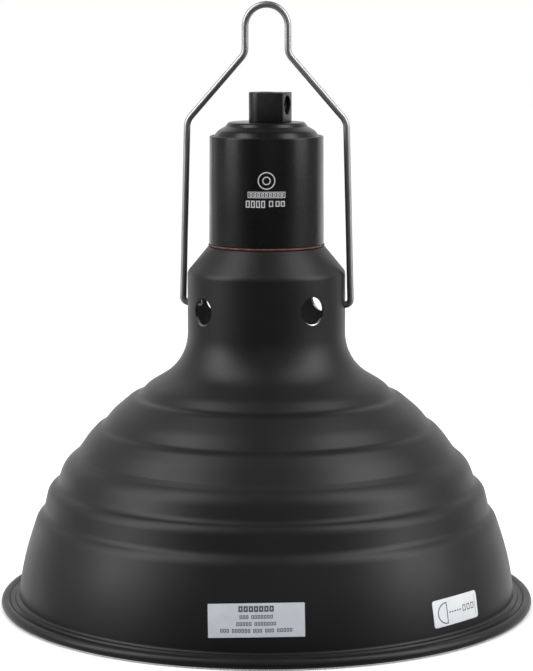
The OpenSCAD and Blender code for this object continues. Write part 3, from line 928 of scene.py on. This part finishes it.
def gasket():
    """Soft ring between the shade's seat and the sleeve, with a rounded edge."""
    outline = rounded([
        (FLANGE_HOLE_R, SEAT_Z, 0),
        (GASKET_R, SEAT_Z, 0.36),
        (GASKET_R, SEAT_Z + GASKET_T, 0.36),
        (FLANGE_HOLE_R, SEAT_Z + GASKET_T, 0),
    ])
    obj = lathe("cover_gasket_ring", outline, [GASKET])
    holes = screw_cutters(SEAT_Z - 1, 4, GASKET, **COVER_SCREW_CIRCLE)
    return cut(obj, [joined("holes", holes)])


finished(sleeve(), "fixture", "cover_paint", "cover_sleeve")
finished(cap(), "fixture", "cover_paint", "cover_cap")
finished(gasket(), "fixture", "gasket", "cover_gasket")


# ---------- cord grip ----------


def cord_grip():
    """Moulded block, round behind and flat in front, with the holes for cord and clamp screw."""
    half = GRIP_W / 2
    heel = arc((GRIP_HEEL_X, 0), half, 90, 270, 6)
    plan = [Vector((GRIP_FACE_X, half)), *heel, Vector((GRIP_FACE_X, -half))]
    block = bevelled(extruded("cord_grip_block", plan, CAP_Z, GRIP_TOP_Z, GRIP), GRIP_BEVEL)
    passage = [
        (0, CAP_Z - 1),
        (GRIP_THREAD_R, CAP_Z - 1),
        (GRIP_THREAD_R, GRIP_THREAD_Z),
        (CORD_HOLE_R, GRIP_THREAD_Z + 0.3),
        (CORD_HOLE_R, GRIP_TOP_Z - 0.5),
        (CORD_HOLE_R + 0.7, GRIP_TOP_Z + 0.2),
        (0, GRIP_TOP_Z + 0.2),
    ]
    upright = lathe("cutter", passage, [GRIP], steps=SMALL_ROUND)
    recess = rounded([
        (0, 0, 0),
        (CLAMP_HOLE_R, 0, 0),
        (CLAMP_HOLE_R, CLAMP_SEAT_X, 0),
        (CLAMP_SEAT_R, CLAMP_SEAT_X, 0),
        (CLAMP_SEAT_R, GRIP_FACE_X - 0.3, 0),
        (CLAMP_SEAT_R + 0.6, GRIP_FACE_X + 0.3, 0),
        (0, GRIP_FACE_X + 0.3, 0),
    ])
    side = lathe("cutter", recess, [GRIP], steps=SMALL_ROUND)
    side = placed(side, shifted(0, 0, CLAMP_Z) @ LYING)
    return placed(cut(block, [upright, side]), turned(GRIP_TURN))


def slotted_screw(name, material, head_r, head_h, shank_r, length, edge=0.25):
    """Screw with its slotted head's top at height 0, and its thread as shallow rings."""
    pitch = max(0.5, shank_r * 0.34)
    outline = rounded([
        (0, 0, 0),
        (head_r, 0, edge),
        (head_r, -head_h, 0.1),
        (shank_r, -head_h, 0),
    ])
    level = -head_h
    depth = pitch * 0.45
    while level - pitch > -head_h - length + pitch:
        outline += [Vector((shank_r - depth, level - pitch / 2)), Vector((shank_r, level - pitch))]
        level -= pitch
    tip = -head_h - length
    outline += [Vector((shank_r, tip + 0.4)), Vector((shank_r - 0.4, tip)), Vector((0, tip))]
    screw = lathe(name, outline, [material], steps=64, sharp=SCREW_SHARP)
    half_w, reach = head_r * 0.15, head_r + 1
    corners = [(-half_w, -reach), (half_w, -reach), (half_w, reach), (-half_w, reach)]
    slot = extruded("slot", corners, -0.45 * head_h, 1, material)
    return cut(screw, [slot], SCREW_SHARP)


def clamp_screw():
    """The nylon screw that clamps the cord, sunk in the grip's side."""
    screw = slotted_screw("clamp_screw_slotted", CLAMP, **CLAMP_SCREW)
    head_x = CLAMP_SEAT_X + CLAMP_SCREW["head_h"]
    return placed(screw, out_at(GRIP_TURN, head_x, CLAMP_Z) @ LYING @ turned(CLAMP_SLOT_TURN))


finished(cord_grip(), "fixture", "grip_nylon", "cord_grip")
finished(clamp_screw(), "fixture", "screw_nylon", "clamp_screw")


# ---------- lampholder ----------


def porcelain():
    """Turned porcelain body: rounded mouth, the shell's seat and the spring's well."""
    outline = rounded([
        (0, PORCELAIN_TOP_Z, 0),
        (PORCELAIN_R, PORCELAIN_TOP_Z, 1.2),
        (PORCELAIN_R, PORCELAIN_BASE_Z, 1.6),
        (MOUTH_R, PORCELAIN_BASE_Z, 1.2),
        (MOUTH_R, MOUTH_STEP_Z, 0.4),
        (SHELL_SEAT_R, MOUTH_STEP_Z, 0.2),
        (SHELL_SEAT_R, SHELL_SEAT_Z, 0.3),
        (SPRING_WELL_R, SHELL_SEAT_Z, 0),
        (SPRING_WELL_R, SPRING_WELL_Z, 0),
        (0, SPRING_WELL_Z, 0),
    ])
    body = lathe("lampholder_porcelain", outline, [PORCELAIN])
    stem_hole = hole_cutter(SPRING_STEM_HOLE_R, 10, PORCELAIN, 48)
    holes = [placed(stem_hole, shifted(0, 0, SPRING_WELL_Z - 1))]
    holes += screw_cutters(SHELL_SEAT_Z - 1, 20, PORCELAIN, **SHELL_SCREW_CIRCLE)
    for turn in (0, 180):
        blind = hole_cutter(HOLDER_HOLE_R, HOLDER_HOLE_DEPTH + 1, PORCELAIN)
        low = PORCELAIN_TOP_Z - HOLDER_HOLE_DEPTH
        holes.append(placed(blind, out_at(turn, HOLDER_SCREW_CIRCLE_R, low)))
    return cut(body, [joined("holes", holes)])


def screw_shell():
    """Pressed shell with a helical knuckle thread and a flat end with a hole."""
    steps, rows_per_turn = 144, 14
    turns = [2 * pi * k / steps for k in range(steps)]
    run_out = 1.6
    top = THREAD_TOP_Z + 0.7
    rows = ceil((top - SHELL_BASE_Z) / THREAD_PITCH * rows_per_turn)
    heights = [SHELL_BASE_Z + (top - SHELL_BASE_Z) * k / rows for k in range(rows + 1)]
    plain_r = THREAD_GROOVE_R + 0.4

    def thread_r(z, turn):
        """The wall's inner radius; the thread runs out smoothly at both ends."""
        swing = 0.5 - 0.5 * cos(2 * pi * (z - SHELL_BASE_Z) / THREAD_PITCH - turn)
        fade = min(1.0, (z - SHELL_BASE_Z) / run_out, (top - z) / run_out)
        return THREAD_LAND_R + (THREAD_GROOVE_R - THREAD_LAND_R) * swing * fade

    def wall(offset):
        """Loops of (radius, height) points up the threaded wall."""
        return [[(thread_r(z, t) + offset, z) for t in turns] for z in heights]

    def ring(r, z):
        """One round loop."""
        return [(r, z)] * steps

    shoulder_z = THREAD_TOP_Z + 1.4
    end_z = SHELL_SEAT_Z - SHELL_T
    loops = wall(0)
    loops += [ring(plain_r - SHELL_T, shoulder_z), ring(plain_r - SHELL_T, end_z - 0.3)]
    loops += [ring(plain_r - SHELL_T - 0.3, end_z), ring(SHELL_HOLE_R, end_z)]
    loops += [ring(SHELL_HOLE_R, SHELL_SEAT_Z), ring(plain_r - 0.5, SHELL_SEAT_Z)]
    loops += [ring(plain_r, SHELL_SEAT_Z - 0.5), ring(plain_r, shoulder_z)]
    loops += wall(SHELL_T)[::-1]
    vertices = []
    for loop in loops:
        vertices += [(r * cos(t), r * sin(t), z) for t, (r, z) in zip(turns, loop)]
    faces = []
    for i in range(len(loops)):
        j = (i + 1) % len(loops)
        for k in range(steps):
            n = (k + 1) % steps
            faces.append((i * steps + k, i * steps + n, j * steps + n, j * steps + k))
    shell = new_piece("screw_shell_thread", vertices, faces, [NICKEL], sharp=45)
    holes = screw_cutters(end_z - 1, 3, NICKEL, **SHELL_SCREW_CIRCLE)
    return cut(shell, [joined("holes", holes)], 45)


def contact():
    """Brass centre contact with a domed, slightly dished head on its stem."""
    head_top = PLUNGER_Z + PLUNGER_HEAD_H
    outline = rounded([
        (0, PLUNGER_Z + 0.12, 0),
        (1.4, PLUNGER_Z, 0.5),
        (PLUNGER_HEAD_R, PLUNGER_Z, 0.9),
        (PLUNGER_HEAD_R, head_top, 0.2),
        (PLUNGER_STEM_R, head_top, 0.2),
        (PLUNGER_STEM_R, PLUNGER_TOP_Z, 0.3),
        (0, PLUNGER_TOP_Z, 0),
    ])
    return lathe("contact_plunger_brass", outline, [BRASS], steps=SMALL_ROUND)


def spring():
    """Round wire coil between the contact's head and the top of its well."""
    steps = SPRING_TURNS * 24
    path = []
    for k in range(steps + 1):
        turn = 2 * pi * SPRING_TURNS * k / steps
        z = SPRING_LOW_Z + (SPRING_HIGH_Z - SPRING_LOW_Z) * k / steps
        path.append((SPRING_R * cos(turn), SPRING_R * sin(turn), z))
    return tube("contact_spring_coil", path, SPRING_WIRE_R, SPRING, sides=12, tip=0.1)


def screws_under(name, size, seat_z, slot_turns, turns, radius):
    """Screws put in from below on a circle, as one mesh, each slot at its own turn."""
    screws = []
    for turn, slot_turn in zip(turns, slot_turns):
        place = out_at(turn, radius, seat_z - size["head_h"])
        screw = slotted_screw("screw", ZINC, **size)
        screws.append(placed(screw, place @ UPSIDE_DOWN @ turned(slot_turn)))
    return joined(name, screws, SCREW_SHARP)


def cover_screws():
    """The three screws that hold the cover, their heads inside the neck."""
    under = SEAT_Z - SHEET_T
    slots = (0, 25, 50)
    return screws_under("cover_screws_slotted", COVER_SCREW, under, slots, **COVER_SCREW_CIRCLE)


def shell_screws():
    """The two screws that hold the shell, their heads inside it."""
    under = SHELL_SEAT_Z - SHELL_T
    slots = (40, 90)
    return screws_under("shell_screws_slotted", SHELL_SCREW, under, slots, **SHELL_SCREW_CIRCLE)


finished(porcelain(), "fixture", "porcelain", "lampholder_body")
finished(screw_shell(), "fixture", "nickel_brass", "screw_shell")
finished(contact(), "contact", "brass", "contact_plunger")
coil = spring()
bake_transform(coil)
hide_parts("contact_spring")
finished(cover_screws(), "fixture", "zinc_steel", "cover_screws")
finished(shell_screws(), "fixture", "zinc_steel", "shell_screws")


# ---------- labels ----------


def skirt_radius(z, lift):
    """The skirt's outer radius at a height, moved out by lift."""
    return SKIRT_CENTRE[0] + sqrt((SKIRT_ARC_R + lift) ** 2 - (z - SKIRT_CENTRE[1]) ** 2)


def label(name, size, corner, turn, tilt, z, material):
    """Thin patch with round corners that follows the skirt."""
    half_w, half_h = size[0] / 2 - corner, size[1] / 2 - corner
    centres = [(half_w, half_h), (-half_w, half_h), (-half_w, -half_h), (half_w, -half_h)]
    edge = []
    for k, centre in enumerate(centres):
        edge += arc(centre, corner, 90 * k, 90 * k + 90, 15)
    spaced = []
    for a, b in zip(edge, edge[1:] + edge[:1]):
        pieces = max(1, ceil((b - a).length))
        spaced += [a.lerp(b, k / pieces) for k in range(pieces)]
    rings = 8
    count = len(spaced)

    def on_skirt(p, lift):
        """A flat point of the label laid on the skirt."""
        c, s = cos(radians(tilt)), sin(radians(tilt))
        across, up = p.x * c - p.y * s, p.x * s + p.y * c
        up -= across**2 / (2 * SKIRT_SLANT)
        r = skirt_radius(z + up, lift)
        angle = radians(turn) + asin(across / r)
        return (r * cos(angle), r * sin(angle), z + up)

    vertices, faces = [], []
    for lift in (LABEL_GAP, LABEL_GAP + LABEL_T):
        for i in range(rings):
            vertices += [on_skirt(p * (1 - i / rings), lift) for p in spaced]
        vertices.append(on_skirt(Vector((0, 0)), lift))
    layer = rings * count + 1
    for base in (0, layer):
        for i in range(rings - 1):
            for k in range(count):
                n = (k + 1) % count
                here, inside = base + i * count, base + (i + 1) * count
                faces.append((here + k, here + n, inside + n, inside + k))
        last = base + (rings - 1) * count
        faces += [(last + k, last + (k + 1) % count, base + rings * count) for k in range(count)]
    faces += [(k, (k + 1) % count, layer + (k + 1) % count, layer + k) for k in range(count)]
    return new_piece(name, vertices, faces, [material], sharp=50)


foil = label("caution_label_foil", material=FOIL, **CAUTION)
finished(foil, "fixture", "label_silver", "caution_label")
film = label("distance_label_film", material=FILM, **DISTANCE)
finished(film, "fixture", "label_white", "distance_label")


# ---------- CAD nodes that stay ----------

ZINC_NODES = [
    "cover_lock_washers",
    "cover_nuts",
    "threaded_stem",
    "cap_washer",
    "cap_locknut",
    "holder_yoke",
    "yoke_locknut",
    "holder_screws",
    "shell_nut",
    "earth_screw",
]
BRASS_NODES = ["neutral_terminal", "live_terminal", "terminal_screws", "earth_tag"]
SPRING_NODES = ["plunger_clip"]
for material, names in ((ZINC, ZINC_NODES), (BRASS, BRASS_NODES), (SPRING, SPRING_NODES)):
    for node in (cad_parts[name] for name in names):
        if not node.material_slots:
            node.data.materials.append(material)
        for material_slot in node.material_slots:
            material_slot.material = material


# ---------- camera, floor and light ----------

VIEW_TURN = 8.0
VIEW_DISTANCE = 1.130
VIEW_HEIGHT = 0.2842
VIEW_DROP = 7.852
LENS = 128.82
CENTRE = (0, 0, 0.12)
FLOOR_HALF = 6.0

# The studio's light: where each part starts and ends, and how bright it is.
SIDE_START, SIDE_END = 0.93, 0.3
BACK_START, BACK_END = -0.38, -0.95
HORIZON_START, HORIZON_END, HORIZON_LIGHT = -0.06, 0.1, 0.62
FRONT_LIGHT, SIDE_LIGHT, BACK_LIGHT = 0.02, 0.3, 1.0
CEILING_START, CEILING_END, CEILING_LIGHT = 0.55, 0.9, 0.25
OVERHEAD_STRENGTH, OVERHEAD_ANGLE = 3.1, 100

# Softboxes: (distance, height, turn from the camera), (width, height) and radiance.
LEFT_BOX = dict(at=(1.05, 0.85, -74), size=(0.7, 1.5), radiance=3.2)
RIGHT_BOX = dict(at=(1.05, 0.85, 74), size=(0.7, 1.5), radiance=3.2)
FRONT_BOX = dict(at=(1.6, 0.55, 8), size=(1.1, 0.45), radiance=0.45)


def toward_camera(distance, height, turn=0.0):
    """A point at a turn from the camera's direction, in metres."""
    a = radians(VIEW_TURN + turn)
    return Vector((distance * sin(a), -distance * cos(a), height))


def add_camera():
    """The main view: from the front, a little to the right and above."""
    camera = bpy.data.objects.new("camera", bpy.data.cameras.new("camera"))
    bpy.context.scene.collection.objects.link(camera)
    camera.location = toward_camera(VIEW_DISTANCE, VIEW_HEIGHT)
    camera.rotation_euler = (radians(90 - VIEW_DROP), 0, radians(VIEW_TURN))
    camera.data.lens = LENS
    camera.data.clip_start = 0.01
    bpy.context.scene.camera = camera


def add_softbox(name, at, size, radiance):
    """A rectangular soft light of an even radiance that faces the object."""
    place = toward_camera(*at)
    light = bpy.data.lights.new(name, "AREA")
    light.shape = "RECTANGLE"
    light.size, light.size_y = size
    light.energy = radiance * pi * size[0] * size[1]
    obj = bpy.data.objects.new(name, light)
    bpy.context.scene.collection.objects.link(obj)
    obj.location = place
    obj.rotation_euler = (Vector(CENTRE) - place).to_track_quat("-Z", "Y").to_euler()


def add_overhead():
    """A very soft light from above, which brightens the floor and leaves no highlight."""
    light = bpy.data.lights.new("overhead", "SUN")
    light.energy = OVERHEAD_STRENGTH
    light.angle = radians(OVERHEAD_ANGLE)
    obj = bpy.data.objects.new("overhead", light)
    obj.visible_glossy = False
    bpy.context.scene.collection.objects.link(obj)


def add_floor():
    """A pale floor that the object stands on."""
    mesh = bpy.data.meshes.new("floor")
    corners = [(-1, -1), (1, -1), (1, 1), (-1, 1)]
    mesh.from_pydata([(x * FLOOR_HALF, y * FLOOR_HALF, 0) for x, y in corners], [], [(0, 1, 2, 3)])
    mesh.materials.append(backdrop_white())
    floor = bpy.data.objects.new("floor", mesh)
    bpy.context.scene.collection.objects.link(floor)
    floor.visible_glossy = False


def add_studio():
    """A bright back, dimmer sides, dark front and dim ceiling; the camera itself sees white."""
    world = bpy.data.worlds.new("studio")
    world.use_nodes = True
    nodes, links = world.node_tree.nodes, world.node_tree.links
    direction = nodes.new("ShaderNodeTexCoord").outputs["Generated"]
    front = nodes.new("ShaderNodeVectorMath")
    front.operation = "DOT_PRODUCT"
    front.inputs[1].default_value = toward_camera(1, 0)
    links.new(direction, front.inputs[0])
    up = nodes.new("ShaderNodeSeparateXYZ")
    links.new(direction, up.inputs[0])

    def eased(value, start, end, low, high):
        """The value's range from start to end mapped smoothly to low to high."""
        made = nodes.new("ShaderNodeMapRange")
        made.interpolation_type = "SMOOTHSTEP"
        links.new(value, made.inputs[0])
        for socket, number in zip(made.inputs[1:5], (start, end, low, high)):
            socket.default_value = number
        return made.outputs[0]

    def combined(operation, a, b):
        """The result of one operation on two values."""
        made = nodes.new("ShaderNodeMath")
        made.operation = operation
        links.new(a, made.inputs[0])
        links.new(b, made.inputs[1])
        return made.outputs[0]

    sides = eased(front.outputs["Value"], SIDE_START, SIDE_END, FRONT_LIGHT, SIDE_LIGHT)
    back = eased(front.outputs["Value"], BACK_START, BACK_END, 0, BACK_LIGHT)
    horizon = eased(up.outputs[2], HORIZON_START, HORIZON_END, 1, HORIZON_LIGHT)
    ceiling = eased(up.outputs[2], CEILING_START, CEILING_END, 1, CEILING_LIGHT)
    walls = combined("ADD", sides, combined("MULTIPLY", back, horizon))
    lit = nodes["Background"]
    lit.inputs["Color"].default_value = (1, 1, 1, 1)
    links.new(combined("MULTIPLY", walls, ceiling), lit.inputs["Strength"])
    seen = nodes.new("ShaderNodeBackground")
    seen.inputs["Color"].default_value = (1, 1, 1, 1)
    seen.inputs["Strength"].default_value = 1.0
    choice = nodes.new("ShaderNodeMixShader")
    links.new(nodes.new("ShaderNodeLightPath").outputs["Is Camera Ray"], choice.inputs[0])
    links.new(lit.outputs[0], choice.inputs[1])
    links.new(seen.outputs[0], choice.inputs[2])
    links.new(choice.outputs[0], nodes["World Output"].inputs["Surface"])
    bpy.context.scene.world = world


bpy.context.scene.view_settings.view_transform = "Standard"
add_camera()
add_floor()
add_studio()
add_overhead()
add_softbox("left_softbox", **LEFT_BOX)
add_softbox("right_softbox", **RIGHT_BOX)
add_softbox("front_fill", **FRONT_BOX)
